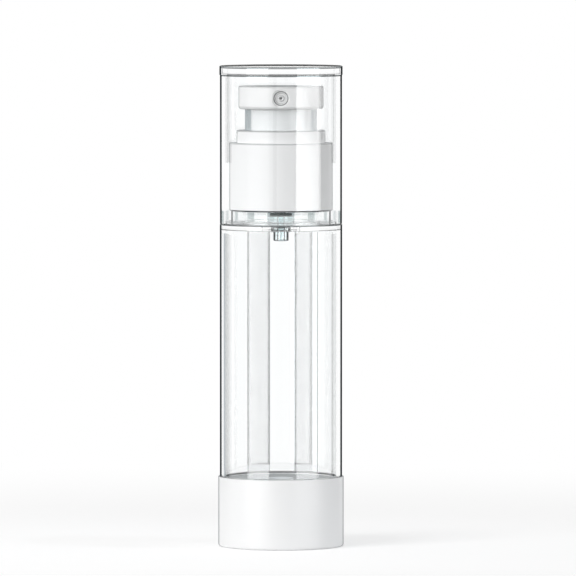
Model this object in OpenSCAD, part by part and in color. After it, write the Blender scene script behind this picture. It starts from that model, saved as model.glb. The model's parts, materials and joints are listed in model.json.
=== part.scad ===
// Airless pump bottle: a clear barrel in a white press-fit base, with a follower piston
// that rises under the product, a metering pump hung in the neck, and a clear overcap.
// Millimetres, +Z up, origin at the centre of the face the base stands on, nozzle
// towards -Y. Every height is stacked from the base upwards, and every diameter from
// the part that it fits, plus a named clearance.

/* [Base] */
// Height of the base, from its foot to its rim
base_h = 18.9; // [16.5:0.1:26]
// Wall of the base
base_wall = 1.0; // [0.9:0.05:1.6]
// Thickness of the base's floor
base_floor = 1.2; // [0.8:0.1:2]
// Height of the foot ring under the floor
foot_h = 1.2; // [0.8:0.1:2]
// Width of the foot ring
foot_w = 2.4; // [1.6:0.1:4]
// Diameter of the air vent in the floor
vent_d = 1.2; // [0.8:0.1:1.6]
// Radius of the base's lower edge
base_edge = 0.6; // [0.2:0.1:0.7]
// Radius of the base's rim edge
base_rim_edge = 0.15; // [0.05:0.05:0.3]

/* [Barrel] */
// Outside diameter of the clear barrel
barrel_d = 33.1; // [32.5:0.1:42]
// Height of the clear barrel, from the base's rim to its shoulder
barrel_h = 68.4; // [45:0.1:120]
// Wall of the barrel
barrel_wall = 1.4; // [1.2:0.1:1.8]
// Step from the barrel's outside to the spigot that plugs into the base
spigot_step = 0.6; // [0.4:0.05:0.7]
// Air under the end of the spigot
spigot_gap = 0.6; // [0.3:0.1:1.5]
// Thickness of the deck that closes the barrel's top
deck_t = 1.3; // [1:0.1:2]
// Diameter of the hole in the deck
deck_hole_d = 6.6; // [6.2:0.1:7]
// Height of the low ring that centres the overcap
cap_step_h = 0.9; // [0.5:0.1:2]
// Width of that low ring
cap_step_w = 0.9; // [0.6:0.1:1.2]
// How far the thick ring at the neck's root lies inside the collar's outline
neck_ring_step = 0.55; // [0.2:0.05:0.9]
// Height of that ring, which the collar stands on
neck_ring_h = 3.7; // [3:0.1:6]
// Wall of the neck
neck_wall = 1.85; // [1.4:0.05:2.4]
// Height of the neck above its ring
neck_h = 7.0; // [6.5:0.1:9]
// Radius of the small edges at the shoulder, the rings and the neck
small_edge = 0.2; // [0.05:0.05:0.3]

/* [Follower piston] */
// Height of the follower piston
follower_h = 12.0; // [9:0.1:13]
// Depth of the piston's rest position below the base's rim
follower_drop = 0.5; // [0.2:0.1:1]
// Wall and crown of the follower piston
follower_wall = 1.1; // [0.8:0.1:1.6]
// Height of each sealing lip
lip_h = 1.0; // [0.6:0.1:1.5]
// How far the lips stand out from the piston's body
lip_out = 0.5; // [0.3:0.05:0.8]
// Diameter of the well that clears the pump's snout
well_d = 6.4; // [5.6:0.1:9]

/* [Metering pump] */
// Travel of the actuator
press_stroke = 5.4; // [4:0.1:6]
// Bore of the metering cylinder
meter_d = 7.0; // [6.4:0.1:7.4]
// Wall of the metering cylinder
meter_wall = 1.1; // [0.8:0.1:1.3]
// Thickness of the cylinder's floor
meter_floor = 1.0; // [0.8:0.1:1.6]
// Height of the dosing piston
piston_h = 3.0; // [2.4:0.1:3.6]
// Outside diameter of the stem
stem_d = 4.9; // [4.7:0.1:5.2]
// Bore of the stem
stem_bore_d = 2.0; // [1.4:0.1:2.1]
// Diameter of the outlet ball
ball_d = 2.5; // [2.3:0.1:2.6]
// Lift of the outlet ball
ball_lift = 0.7; // [0.4:0.1:1]
// Thickness of the housing's flange
flange_t = 1.0; // [0.8:0.1:1.5]
// Length of the pilot that centres the housing in the neck
pilot_h = 3.0; // [2:0.1:5]
// Thickness of the neck gasket
gasket_t = 0.8; // [0.5:0.1:1.2]

/* [Return spring] */
// Diameter of the spring wire
wire_d = 0.9; // [0.6:0.05:0.9]
// Mean diameter of the spring
spring_d = 10.0; // [9.4:0.1:10]
// Number of turns
spring_turns = 7; // [5:1:8]
// Height of the sleeve that guides the spring's foot
guide_h = 6.0; // [4:0.1:8]
// Wall of that sleeve
guide_wall = 0.9; // [0.6:0.1:1.2]

/* [Pump tail] */
// Outside diameter of the boss on the deck
boss_d = 7.3; // [7.1:0.1:8]
// Height of the boss
boss_h = 4.0; // [3.6:0.1:5]
// Diameter of the inlet disc
disc_d = 6.1; // [5:0.1:6.3]
// Thickness of the inlet disc
disc_t = 0.95; // [0.6:0.05:1.2]
// Lift of the inlet disc
disc_lift = 0.8; // [0.4:0.1:1]
// Diameter of the rim below the deck
rim_d = 5.4; // [5:0.1:5.8]
// Height of the rim
rim_h = 1.4; // [1:0.1:2]
// Outside diameter of the snout
snout_d = 4.1; // [3.4:0.1:4.6]
// Length of the snout below the rim
snout_h = 2.6; // [1.5:0.1:3.5]
// Bore of the tail
tail_bore_d = 1.35; // [1:0.05:1.8]
// Thickness of the tail seal
seal_t = 0.5; // [0.4:0.05:0.6]

/* [Collar] */
// Room between the collar and the overcap
collar_gap = 1.1; // [0.6:0.1:2]
// Wall of the collar
collar_wall = 0.85; // [0.6:0.05:1.0]
// Wall of the closure ring inside it
closure_wall = 1.45; // [1.0:0.05:1.5]
// Height of the collar's wide step
collar_h = 18.3; // [17.5:0.1:24]
// Height of its narrow step
collar_step_h = 3.4; // [2:0.1:6]
// Width of the collar's top around the skirt
collar_lip = 2.05; // [1.6:0.05:2.6]
// Thickness of the lip that clamps the flange
clamp_t = 1.2; // [0.8:0.1:1.8]
// Room between that lip and the spring's sleeve
clamp_room = 2.3; // [1.5:0.1:3]

/* [Actuator] */
// Diameter of the head
head_d = 23.0; // [22.4:0.1:27]
// Height of the head
head_h = 6.2; // [5.2:0.1:8]
// Room left between head and collar when pressed
head_margin = 0.3; // [0.3:0.1:3]
// Thickness of the head's top
head_top_t = 1.3; // [0.9:0.1:1.5]
// Outside diameter of the skirt
skirt_d = 19.5; // [18.5:0.1:19.8]
// Wall of the skirt
skirt_wall = 1.6; // [0.8:0.1:1.6]
// Wall of the spring cover inside the skirt
cover_wall = 1.0; // [0.6:0.1:1.0]
// Outside diameter of the socket that takes the stem
socket_d = 7.3; // [6.6:0.1:8]
// Depth of the socket's foot under the head
socket_drop = 1.9; // [1:0.1:3]
// Diameter of the nozzle insert
nozzle_d = 3.85; // [3.2:0.05:4]
// Length of the nozzle insert
nozzle_l = 2.2; // [1.6:0.1:3]
// Diameter of the orifice
orifice_d = 0.6; // [0.4:0.1:1]
// Diameter of the flat round the nozzle
spotface_d = 4.9; // [4.4:0.1:5]
// Radius of the head's top edge
head_top_edge = 0.35; // [0.1:0.05:0.6]
// Radius of the head's lower edge
head_foot_edge = 0.8; // [0.2:0.1:1]

/* [Overcap] */
// Wall of the overcap
cap_wall = 1.4; // [1:0.1:1.4]
// How far the overcap's wall lies inside the barrel's outline
cap_inset = 0.05; // [0:0.05:0.2]
// Thickness of the overcap's top plate
cap_plate_t = 2.5; // [1.5:0.1:4]
// How far the plate's edge stands out from the wall
cap_lip = 0.15; // [0:0.05:0.3]
// Room over the head
cap_headroom = 3.0; // [1.5:0.1:8]
// Radius of the top plate's upper edge
cap_edge = 0.4; // [0.1:0.1:0.8]

/* [Clearances] */
// Radial gap of parts that are pressed or snapped together
fit_gap = 0.05; // [0.02:0.01:0.08]
// Radial gap of sealing lips and shafts that run
run_gap = 0.05; // [0.02:0.01:0.08]
// Radial gap of sleeves that pass each other freely
free_gap = 0.2; // [0.15:0.05:0.3]
// Height kept free at the end of a stroke
end_gap = 0.3; // [0.2:0.05:0.4]
// Gap under the overcap and at other faces that only meet
face_gap = 0.05; // [0.02:0.01:0.1]

/* [Hidden] */
$fn = 96;

// Over-cut of a cut past its face, and overlap of two shapes that make one solid
over = 1;
sink = 0.5;

// Nozzle, whose pocket lies just over the recess that takes the two sleeves
nozzle_r = nozzle_d / 2;
nozzle_bore_r = nozzle_r + 0.02;
recess_h = head_h / 2 - nozzle_bore_r - face_gap;

// Heights, stacked from the foot
floor_top = foot_h + base_floor;
rim_z = base_h;
spigot_end = floor_top + spigot_gap;
deck_z = rim_z + barrel_h;
deck_under = deck_z - deck_t;
ring_z = deck_z + neck_ring_h;
neck_z = ring_z + neck_h;
flange_z = neck_z + gasket_t;
flange_top = flange_z + flange_t;
clamp_top = flange_top + clamp_t;
collar_step_z = ring_z + collar_h;
collar_z = collar_step_z + collar_step_h;
head_z = collar_z + press_stroke + head_margin;
seat_plate_z = head_z + recess_h;
head_top = head_z + head_h;
cap_roof = head_top + cap_headroom;
cap_top = cap_roof + cap_plate_t;

// Radii, stacked from the barrel
barrel_r = barrel_d / 2;
bore_r = barrel_r - barrel_wall;
spigot_r = barrel_r - spigot_step;
base_bore_r = spigot_r + fit_gap;
base_r = base_bore_r + base_wall;
cap_r = barrel_r - cap_inset;
cap_bore_r = cap_r - cap_wall;
collar_r = cap_bore_r - collar_gap;
collar_bore_r = collar_r - collar_wall;
closure_r = collar_bore_r - fit_gap;
closure_bore_r = closure_r - closure_wall;
neck_r = closure_bore_r - fit_gap;
neck_bore_r = neck_r - neck_wall;
neck_ring_r = collar_r - neck_ring_step;
skirt_r = skirt_d / 2;
spring_r = spring_d / 2;

// Snap bead between barrel and base, a third of the way up the rim
bead_out = 0.2;
bead_h = 1.0;
bead_play = 0.1;
bead_z = spigot_end + (rim_z - spigot_end) / 3;

// Pump tail, whose rim holds the seal up in the deck's hole
boss_r = boss_d / 2;
disc_r = disc_d / 2;
disc_top_gap = 0.15;
disc_edge = 0.15;
disc_z = deck_z + boss_h - disc_t - disc_lift - disc_top_gap;
rim_top = deck_z - seal_t - 2 * face_gap;
rim_foot = rim_top - rim_h;
snout_z = rim_foot - snout_h;
tail_neck_r = snout_d / 2 - 0.1;
tail_edge = 0.3;

// Follower piston, which stands on the base's stop ring
follower_top = rim_z - follower_drop;
follower_z = follower_top - follower_h;
lip_r = bore_r - run_gap;
follower_r = lip_r - lip_out;
well_depth = deck_under - snout_z + end_gap * 2;
stop_r = follower_r - follower_wall / 2;
stop_wall = 1.0;
stop_notch = 3.0;

// Neck and closure
neck_bead = 0.3;
neck_bead_h = 1.0;
neck_bead_drop = 2.5;
neck_bead_z = neck_z - neck_bead_drop;
closure_z = ring_z + 2 * free_gap;
mouth_r = skirt_r + free_gap;
collar_top_r = mouth_r + collar_lip;
collar_top_t = 1.0;
collar_edge = 0.3;
chimney_wall = 1.1;
chimney_r = mouth_r + chimney_wall;

// Metering cylinder
meter_r = meter_d / 2;
cylinder_r = meter_r + meter_wall;
housing_z = deck_z + boss_h;
chamber_z = housing_z + meter_floor;
piston_z = chamber_z + press_stroke + end_gap;
cylinder_spare = 1.0;
cylinder_top = piston_z + piston_h + cylinder_spare;
flange_r = neck_r - 2 * fit_gap;
pilot_r = neck_bore_r - 2 * fit_gap;
pilot_wall = 1.0;
inlet_r = 0.9;
inlet_slot_w = 0.8;
inlet_slot_h = 0.4;

// Chaplet over the cylinder, which seats the spring
seat_t = 1.2;
seat_z = cylinder_top + seat_t;
guide_bore_r = spring_r + wire_d / 2 + end_gap;
guide_r = guide_bore_r + guide_wall;
guide_top = seat_z + guide_h;

// Stem and its ball valve
stem_r = stem_d / 2;
stem_bore_r = stem_bore_d / 2;
ball_r = ball_d / 2;
ball_cage_r = ball_r + free_gap;
stem_foot_r = stem_r - 0.7;
stem_foot = piston_z + 0.5;
lip_band = 0.5;
piston_waist = 0.35;
ball_rise = sqrt(ball_r * ball_r - stem_bore_r * stem_bore_r) + face_gap;
stem_top = seat_plate_z + 0.6;
ball_top_gap = 0.15;
ball_seat_z = stem_top - (ball_rise + ball_r + ball_lift + ball_top_gap);
snap_drop = 2.3;
snap_z = stem_top - snap_drop;
snap_out = 0.15;
snap_h = 0.4;

// Actuator
head_r = head_d / 2;
socket_r = stem_r + run_gap;
socket_out_r = socket_d / 2;
socket_z = head_z - socket_drop;
cover_bore_r = guide_r + end_gap;
cover_r = cover_bore_r + cover_wall;
skirt_foot = clamp_top + press_stroke + 2 * free_gap;
pocket_top = head_top - head_top_t;
pocket_wall = 0.6;
rib_w = 1.2;
rib_count = 6;
nozzle_z = head_z + head_h / 2;
spotface_y = sqrt(head_r * head_r - pow(spotface_d / 2, 2)) - face_gap;
channel_r = 0.65;
dish_in_r = 0.8;
dish_out_r = 1.55;
dish_depth = 0.3;
swirl_r = 1.15;
swirl_z = 0.9;
block_wall = 0.7;
block_w = nozzle_d + 2 * block_wall;

// Centre line of the return spring
spring_z0 = seat_z + wire_d / 2 + face_gap;
spring_z1 = seat_plate_z - wire_d / 2 - face_gap;
rings_per_turn = 8;
wire_sides = 6;
spring_rings = rings_per_turn * spring_turns;
function coil_point(i) = [
    spring_r * cos(360 * i / rings_per_turn),
    spring_r * sin(360 * i / rings_per_turn),
    spring_z0 + (spring_z1 - spring_z0) * i / spring_rings
];
echo(spring_gap = norm(coil_point(rings_per_turn) - coil_point(0)) - wire_d);

// Ring with a square section
module ring(r_in, r_out, z0, z1) {
    rotate_extrude()
        translate([r_in, z0])
            square([r_out - r_in, z1 - z0]);
}

// The waste outside a rounded outer corner; side is 1 at a top edge and -1 at a foot
module corner_waste(r, z, f, side) {
    difference() {
        translate([r - f, side > 0 ? z - f : z - over])
            square([f + over, f + over]);
        translate([r - f, z - side * f])
            circle(r = f);
    }
}

// Solid turned body whose outer top and foot edges are rounded
module turned(r, z0, z1, top = 0, foot = 0) {
    rotate_extrude()
        difference() {
            translate([0, z0])
                square([r, z1 - z0]);
            if (top > 0)
                corner_waste(r, z1, top, 1);
            if (foot > 0)
                corner_waste(r, z0, foot, -1);
        }
}

// Cylinder that cuts from z0 to z1 along the axis
module bore(r, z0, z1) {
    translate([0, 0, z0])
        cylinder(r = r, h = z1 - z0);
}

module base() {
    color("white") {
        difference() {
            turned(base_r, 0, rim_z, base_rim_edge, base_edge);
            bore(base_bore_r, floor_top, rim_z + over);
            bore(base_r - foot_w, -over, foot_h);
            bore(vent_d / 2, -over, floor_top + over);
            ring(base_bore_r - over, base_bore_r + bead_out, bead_z, bead_z + bead_h);
        }
        difference() {
            ring(stop_r - stop_wall, stop_r, floor_top - sink, follower_z - face_gap);
            for (turn = [0, 60, 120])
                rotate([0, 0, turn])
                    translate([-base_r, -stop_notch / 2, floor_top])
                        cube([2 * base_r, stop_notch, follower_z]);
        }
    }
}

module barrel() {
    color([0.86, 0.93, 0.95, 0.35])
        difference() {
            union() {
                turned(barrel_r, rim_z, deck_z, small_edge);
                bore(spigot_r, spigot_end, rim_z + sink);
                ring(spigot_r - sink, spigot_r + bead_out - fit_gap,
                    bead_z + bead_play, bead_z + bead_h - bead_play);
                turned(cap_bore_r - fit_gap, deck_z - sink, deck_z + cap_step_h, small_edge);
                turned(neck_ring_r, deck_z - sink, ring_z, small_edge);
                turned(neck_r, ring_z - sink, neck_z, small_edge);
                ring(neck_r - sink, neck_r + neck_bead, neck_bead_z, neck_bead_z + neck_bead_h);
            }
            bore(bore_r, spigot_end - over, deck_under);
            bore(deck_hole_d / 2, deck_under - over, deck_z + over);
            bore(neck_bore_r, deck_z, neck_z + over);
            ring(neck_ring_r, cap_bore_r - fit_gap - cap_step_w, deck_z, deck_z + cap_step_h + over);
        }
}

module follower_piston() {
    h = follower_h;
    color([0.82, 0.88, 0.93])
        translate([0, 0, follower_z])
            difference() {
                rotate_extrude()
                    polygon([
                        [0, 0], [lip_r, 0], [lip_r, lip_h], [follower_r, 2 * lip_h],
                        [follower_r, h - 2 * lip_h], [lip_r, h - lip_h], [lip_r, h], [0, h]
                    ]);
                difference() {
                    bore(follower_r - follower_wall, -over, h - follower_wall);
                    bore(well_d / 2 + follower_wall, h - well_depth - follower_wall, h);
                }
                bore(well_d / 2, h - well_depth, h + over);
            }
}

module pump_tail() {
    color([0.86, 0.93, 0.95, 0.35])
        difference() {
            union() {
                turned(boss_r, deck_z, deck_z + boss_h, small_edge);
                bore(tail_neck_r, rim_top - sink, deck_z + sink);
                turned(rim_d / 2, rim_foot, rim_top, tail_edge, tail_edge);
                turned(snout_d / 2, snout_z, rim_foot + sink, 0, tail_edge);
            }
            bore(tail_bore_d / 2, snout_z - over, deck_z + boss_h);
            bore(disc_r + free_gap / 2, disc_z - face_gap, deck_z + boss_h + over);
        }
}

module tail_seal() {
    color([0.8, 0.85, 0.87])
        ring(tail_neck_r + fit_gap, deck_hole_d / 2 - fit_gap, rim_top + face_gap, deck_z - face_gap);
}

module inlet_disc() {
    color([0.06, 0.12, 0.13])
        turned(disc_r, disc_z, disc_z + disc_t, disc_edge, disc_edge);
}

module pump_housing() {
    slot_l = 2 * (disc_r - end_gap);
    color("whitesmoke")
        difference() {
            union() {
                bore(cylinder_r, housing_z, cylinder_top);
                bore(flange_r, flange_z, flange_top);
                ring(pilot_r - pilot_wall, pilot_r, flange_z - pilot_h, flange_z + sink);
            }
            bore(meter_r, chamber_z, cylinder_top + over);
            bore(inlet_r, housing_z - over, chamber_z + over);
            for (turn = [0, 90])
                rotate([0, 0, turn])
                    translate([-slot_l / 2, -inlet_slot_w / 2, housing_z - over])
                        cube([slot_l, inlet_slot_w, over + inlet_slot_h]);
        }
}

module neck_gasket() {
    color([0.85, 0.87, 0.88])
        ring(neck_bore_r + 2 * fit_gap, flange_r, neck_z, flange_z);
}

module closure_ring() {
    color([0.9, 0.92, 0.93])
        difference() {
            union() {
                turned(closure_r, closure_z, clamp_top, collar_edge);
                bore(chimney_r, clamp_top - sink, collar_z - collar_top_t);
            }
            bore(closure_bore_r, closure_z - over, flange_top);
            bore(guide_r + clamp_room, flange_top - over, clamp_top + over);
            bore(mouth_r, clamp_top, collar_z);
            ring(closure_bore_r - sink, closure_bore_r + neck_bead, neck_bead_z - bead_play,
                neck_bead_z + neck_bead_h + bead_play);
        }
}

module housing_cap() {
    color([0.88, 0.9, 0.9])
        difference() {
            bore(guide_r, flange_top, guide_top);
            bore(guide_bore_r, seat_z, guide_top + over);
            bore(cylinder_r + fit_gap, flange_top - over, cylinder_top);
            bore(stem_r + run_gap, cylinder_top - over, seat_z + over);
        }
}

module return_spring() {
    pitch_angle = atan((spring_z1 - spring_z0) / (2 * PI * spring_r * spring_turns));
    points = [for (i = [0 : spring_rings])
        let (a = 360 * i / rings_per_turn, c = coil_point(i))
        for (k = [0 : wire_sides - 1])
            let (w = 360 * k / wire_sides, u = wire_d / 2 * cos(w), v = wire_d / 2 * sin(w))
            c + [u * cos(a) + v * sin(pitch_angle) * sin(a),
                 u * sin(a) - v * sin(pitch_angle) * cos(a),
                 v * cos(pitch_angle)]
    ];
    n = wire_sides;
    sides = [for (i = [0 : spring_rings - 1], k = [0 : n - 1], half = [0, 1])
        let (a = i * n + k, b = i * n + (k + 1) % n)
        half == 0 ? [a, b + n, b] : [a, a + n, b + n]
    ];
    first = [for (k = [1 : n - 2]) [0, k, k + 1]];
    last = [for (k = [1 : n - 2]) let (s = spring_rings * n) [s, s + k + 1, s + k]];
    color("silver")
        polyhedron(points, concat(sides, first, last));
}

module pump_stem() {
    color("white")
        difference() {
            union() {
                bore(stem_r, piston_z + piston_h, stem_top);
                bore(stem_foot_r, stem_foot, piston_z + piston_h + sink);
                ring(stem_r - sink, stem_r + snap_out - run_gap, snap_z, snap_z + snap_h);
            }
            bore(stem_bore_r, stem_foot - over, stem_top + over);
            bore(ball_cage_r, ball_seat_z, stem_top + over);
        }
}

module dosing_piston() {
    lip = meter_r - run_gap;
    body = lip - piston_waist;
    band = lip_band;
    color([0.84, 0.88, 0.9])
        difference() {
            rotate_extrude()
                translate([0, piston_z])
                    polygon([
                        [0, 0], [lip, 0], [lip, band], [body, 2 * band],
                        [body, piston_h - 2 * band], [lip, piston_h - band],
                        [lip, piston_h], [0, piston_h]
                    ]);
            bore(stem_bore_r, piston_z - over, piston_z + over);
            bore(stem_foot_r + fit_gap, stem_foot, piston_z + piston_h + over);
        }
}

module outlet_ball() {
    color("silver")
        translate([0, 0, ball_seat_z + ball_rise])
            sphere(r = ball_r);
}

module collar() {
    color("white")
        difference() {
            union() {
                turned(collar_r, ring_z, collar_step_z, collar_edge, collar_edge / 2);
                turned(collar_top_r, collar_step_z - sink, collar_z, collar_edge);
            }
            bore(collar_bore_r, ring_z - over, collar_step_z - collar_top_t);
            bore(chimney_r + fit_gap, ring_z, collar_z - collar_top_t);
            bore(mouth_r, ring_z, collar_z + over);
        }
}

module actuator_head() {
    color("white")
        difference() {
            union() {
                turned(head_r, head_z, head_top, head_top_edge, head_foot_edge);
                bore(socket_out_r, socket_z, seat_plate_z);
            }
            difference() {
                bore(skirt_r + fit_gap, head_z - over, seat_plate_z);
                bore(socket_out_r, socket_z, seat_plate_z + over);
            }
            head_pockets();
            bore(socket_r, socket_z - over, stem_top + face_gap);
            ring(socket_r - sink, socket_r + snap_out, snap_z - bead_play, snap_z + snap_h + bead_play);
            bore(stem_bore_r, stem_top - over, nozzle_z + channel_r);
            translate([0, 0, nozzle_z])
                rotate([90, 0, 0]) {
                    cylinder(r = channel_r, h = head_r);
                    translate([0, 0, spotface_y - nozzle_l])
                        cylinder(r = nozzle_bore_r, h = head_r);
                    translate([0, 0, spotface_y])
                        cylinder(r = spotface_d / 2, h = head_r);
                }
        }
}

// Pockets that core the head out between radial ribs, with a solid block at the nozzle
module head_pockets() {
    difference() {
        ring(socket_out_r + pocket_wall, skirt_r - pocket_wall, seat_plate_z - over, pocket_top);
        for (i = [0 : rib_count - 1])
            rotate([0, 0, 360 * i / rib_count + 90])
                translate([0, -rib_w / 2, seat_plate_z - 2 * over])
                    cube([head_r, rib_w, head_h + 2 * over]);
        translate([-block_w / 2, -head_r, seat_plate_z - 2 * over])
            cube([block_w, head_r, head_h + 2 * over]);
    }
}

module nozzle_insert() {
    color("whitesmoke")
        translate([0, -spotface_y, nozzle_z])
            rotate([-90, 0, 0])
                difference() {
                    bore(nozzle_r, 0, nozzle_l);
                    ring(dish_in_r, dish_out_r, -over, dish_depth);
                    translate([0, 0, -face_gap])
                        cylinder(r1 = orifice_d, r2 = orifice_d / 2, h = dish_depth + face_gap);
                    bore(orifice_d / 2, 0, nozzle_l + over);
                    bore(swirl_r, swirl_z, nozzle_l + over);
                }
}

module actuator_skirt() {
    color([0.85, 0.9, 0.93, 0.6])
        ring(skirt_r - skirt_wall, skirt_r, skirt_foot, seat_plate_z);
}

module spring_cover() {
    color("white")
        ring(cover_bore_r, cover_r, skirt_foot + end_gap, seat_plate_z);
}

module overcap() {
    color([0.86, 0.93, 0.95, 0.35])
        difference() {
            union() {
                turned(cap_r, deck_z + face_gap, cap_roof + sink);
                turned(cap_r + cap_lip, cap_roof, cap_top, cap_edge, cap_lip / 2);
            }
            bore(cap_bore_r, deck_z - over, cap_roof);
        }
}

base();
barrel();
follower_piston();
pump_tail();
tail_seal();
inlet_disc();
pump_housing();
neck_gasket();
closure_ring();
housing_cap();
return_spring();
pump_stem();
dosing_piston();
outlet_ball();
collar();
actuator_head();
nozzle_insert();
actuator_skirt();
spring_cover();
overcap();
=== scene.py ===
# %% [markdown]
# A clear airless pump bottle, dressed in Blender. Nearly every piece of it leaves a round
# mould, so one idea makes most of the scene: draw half of a section, then turn it about
# the upright axis. The other idea is the light. Clear plastic has no colour of its own,
# so it is drawn by the dark and bright things that stand round it in the studio.

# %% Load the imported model
import json
from math import asin, atan, cos, degrees, radians, sin, tan

import bmesh
import bpy
from mathutils import Matrix, Vector

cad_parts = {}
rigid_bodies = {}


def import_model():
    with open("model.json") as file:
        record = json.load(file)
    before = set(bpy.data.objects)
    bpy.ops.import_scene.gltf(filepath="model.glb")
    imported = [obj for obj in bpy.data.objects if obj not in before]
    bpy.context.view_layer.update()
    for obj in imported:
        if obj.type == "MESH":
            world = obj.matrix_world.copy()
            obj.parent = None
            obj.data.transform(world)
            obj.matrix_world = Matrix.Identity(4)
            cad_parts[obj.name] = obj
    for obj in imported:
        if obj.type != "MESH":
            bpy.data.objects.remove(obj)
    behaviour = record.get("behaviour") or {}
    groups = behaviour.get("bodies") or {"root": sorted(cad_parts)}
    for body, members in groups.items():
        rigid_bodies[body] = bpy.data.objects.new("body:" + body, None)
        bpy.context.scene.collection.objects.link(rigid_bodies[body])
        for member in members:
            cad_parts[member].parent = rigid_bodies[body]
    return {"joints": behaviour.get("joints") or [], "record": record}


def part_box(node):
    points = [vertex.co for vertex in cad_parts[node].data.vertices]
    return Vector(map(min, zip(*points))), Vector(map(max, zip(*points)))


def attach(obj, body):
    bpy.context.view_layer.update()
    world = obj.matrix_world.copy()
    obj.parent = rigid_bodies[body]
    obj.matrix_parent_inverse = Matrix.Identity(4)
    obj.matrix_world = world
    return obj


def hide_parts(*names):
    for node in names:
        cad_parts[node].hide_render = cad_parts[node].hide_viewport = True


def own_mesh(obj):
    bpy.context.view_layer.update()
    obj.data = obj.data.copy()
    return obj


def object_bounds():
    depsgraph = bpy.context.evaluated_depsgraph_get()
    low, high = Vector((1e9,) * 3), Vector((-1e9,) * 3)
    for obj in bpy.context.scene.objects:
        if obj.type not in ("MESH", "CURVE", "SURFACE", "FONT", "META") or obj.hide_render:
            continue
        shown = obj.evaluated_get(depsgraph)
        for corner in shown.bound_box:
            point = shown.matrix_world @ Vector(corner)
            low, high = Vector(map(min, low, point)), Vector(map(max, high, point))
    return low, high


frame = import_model()
cad_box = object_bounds()

# %% [markdown]
# Every size below is in millimetres, as on a drawing, and becomes metres where a mesh is
# made. Heights and outer radii come from the CAD nodes themselves, so a piece that is
# dressed here sits exactly where the working model has it. The record says which body a
# node rides on. Pieces that are pressed or seated on each other stand one small fit apart,
# so that no two faces share a place.

# %% Sizes and lists read from the frame
MM = 0.001
FIT = 0.05


def low(node):
    """Height of a node's foot, in millimetres."""
    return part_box(node)[0].z / MM


def high(node):
    """Height of a node's top, in millimetres."""
    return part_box(node)[1].z / MM


def reach(node):
    """Outer radius of a turned node, in millimetres."""
    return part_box(node)[1].x / MM


def extent(node):
    """A turned node's foot, top and outer radius."""
    return low(node), high(node), reach(node)


bodies = frame["record"]["behaviour"]["bodies"]
body_of = {node: body for body, nodes in bodies.items() for node in nodes}
print(f"height {high('overcap'):.1f} mm, base radius {reach('base'):.2f} mm")

# %% [markdown]
# A finish is a small tree of shader nodes. Written node by node, a tree hides its sums, so
# a socket is wrapped in a class on which ordinary Python sums can be written; Geometry
# Nodes have the same sums and use it too. Every other kind of node comes from one method,
# which sets the node's options before its inputs.


# %% Sums in plain Python
class Wire:
    """A socket that Python sums can be written on."""

    def __init__(self, recipe, socket):
        self.recipe, self.socket = recipe, socket

    def sum(self, operation, first, second):
        return self.recipe.node("Math", {"operation": operation}, {0: first, 1: second})

    def __add__(self, other):
        return self.sum("ADD", self, other)

    def __sub__(self, other):
        return self.sum("SUBTRACT", self, other)

    def __rsub__(self, other):
        return self.sum("SUBTRACT", other, self)

    def __mul__(self, other):
        return self.sum("MULTIPLY", self, other)

    def __truediv__(self, other):
        return self.sum("DIVIDE", self, other)

    __radd__ = __add__
    __rmul__ = __mul__

    def over(self, limit):
        return self.sum("GREATER_THAN", self, limit)

    def at_most(self, limit):
        return self.sum("MINIMUM", self, limit)

    def at_least(self, limit):
        return self.sum("MAXIMUM", self, limit)


def plug(tree, socket, value):
    """Fills an input with a value or with another node's output."""
    value = value.socket if isinstance(value, Wire) else value
    if isinstance(value, bpy.types.NodeSocket):
        tree.links.new(value, socket)
    else:
        socket.default_value = value


class Sums:
    """A node tree in which sums and other plain nodes are written."""

    def __init__(self, tree):
        self.tree = tree

    def node(self, kind, options=None, inputs=None, output=0):
        made = self.tree.nodes.new("ShaderNode" + kind)
        for key, value in (options or {}).items():
            setattr(made, key, value)
        for key, value in (inputs or {}).items():
            plug(self.tree, made.inputs[key], value)
        return Wire(self, made.outputs[output]) if len(made.outputs) else None


class Recipe(Sums):
    """A material's or the world's node tree, emptied and ready to be written."""

    def __init__(self, owner):
        owner.use_nodes = True
        super().__init__(owner.node_tree)
        self.owner = owner
        self.tree.nodes.clear()

    def blend(self, share, one, other):
        """Colour that runs from one to other as share runs from 0 to 1."""
        factor, a, b, result = 0, 6, 7, 2
        inputs = {factor: share, a: one, b: other}
        return self.node("Mix", {"data_type": "RGBA"}, inputs, result)

    def either(self, share, one, other):
        """Shader that runs from one to other."""
        return self.node("MixShader", None, {0: share, 1: one, 2: other})

    def place(self):
        return self.node("TexCoord", output="Object")

    def noise(self, scale, detail=2.0):
        """Noise from 0 to 1, whose grain is about 1 / scale metres."""
        inputs = {"Vector": self.place(), "Scale": scale, "Detail": detail}
        return self.node("TexNoise", None, inputs)

    def eased(self, value, start, full, most=1.0):
        """0 up to start and most from full on, with a soft run between them."""
        inputs = {"Value": value, "From Min": start, "From Max": full, "To Max": most}
        return self.node("MapRange", {"interpolation_type": "SMOOTHSTEP"}, inputs)

    def facing(self):
        """0 where a face looks at the eye, 1 where the eye looks along it."""
        return self.node("LayerWeight", None, {"Blend": 0.5}, "Facing")

    def height_of(self, vector):
        return self.node("SeparateXYZ", None, {0: vector}, "Z")

    def vectors(self, operation, inputs, output=0):
        return self.node("VectorMath", {"operation": operation}, inputs, output)

    def glow(self, colour, strength):
        return self.node("Emission", None, {"Color": colour, "Strength": strength})

    def bump(self, height, depth, strength):
        inputs = {"Height": height, "Distance": depth, "Strength": strength}
        return self.node("Bump", None, inputs)

    def light_path(self, output):
        return self.node("LightPath", output=output)

    def finish(self, shader, kind="OutputMaterial"):
        self.node(kind, None, {"Surface": shader})
        return self.owner


def recipe(name):
    return Recipe(bpy.data.materials.new(name))


print("the shader helpers are ready")

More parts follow.
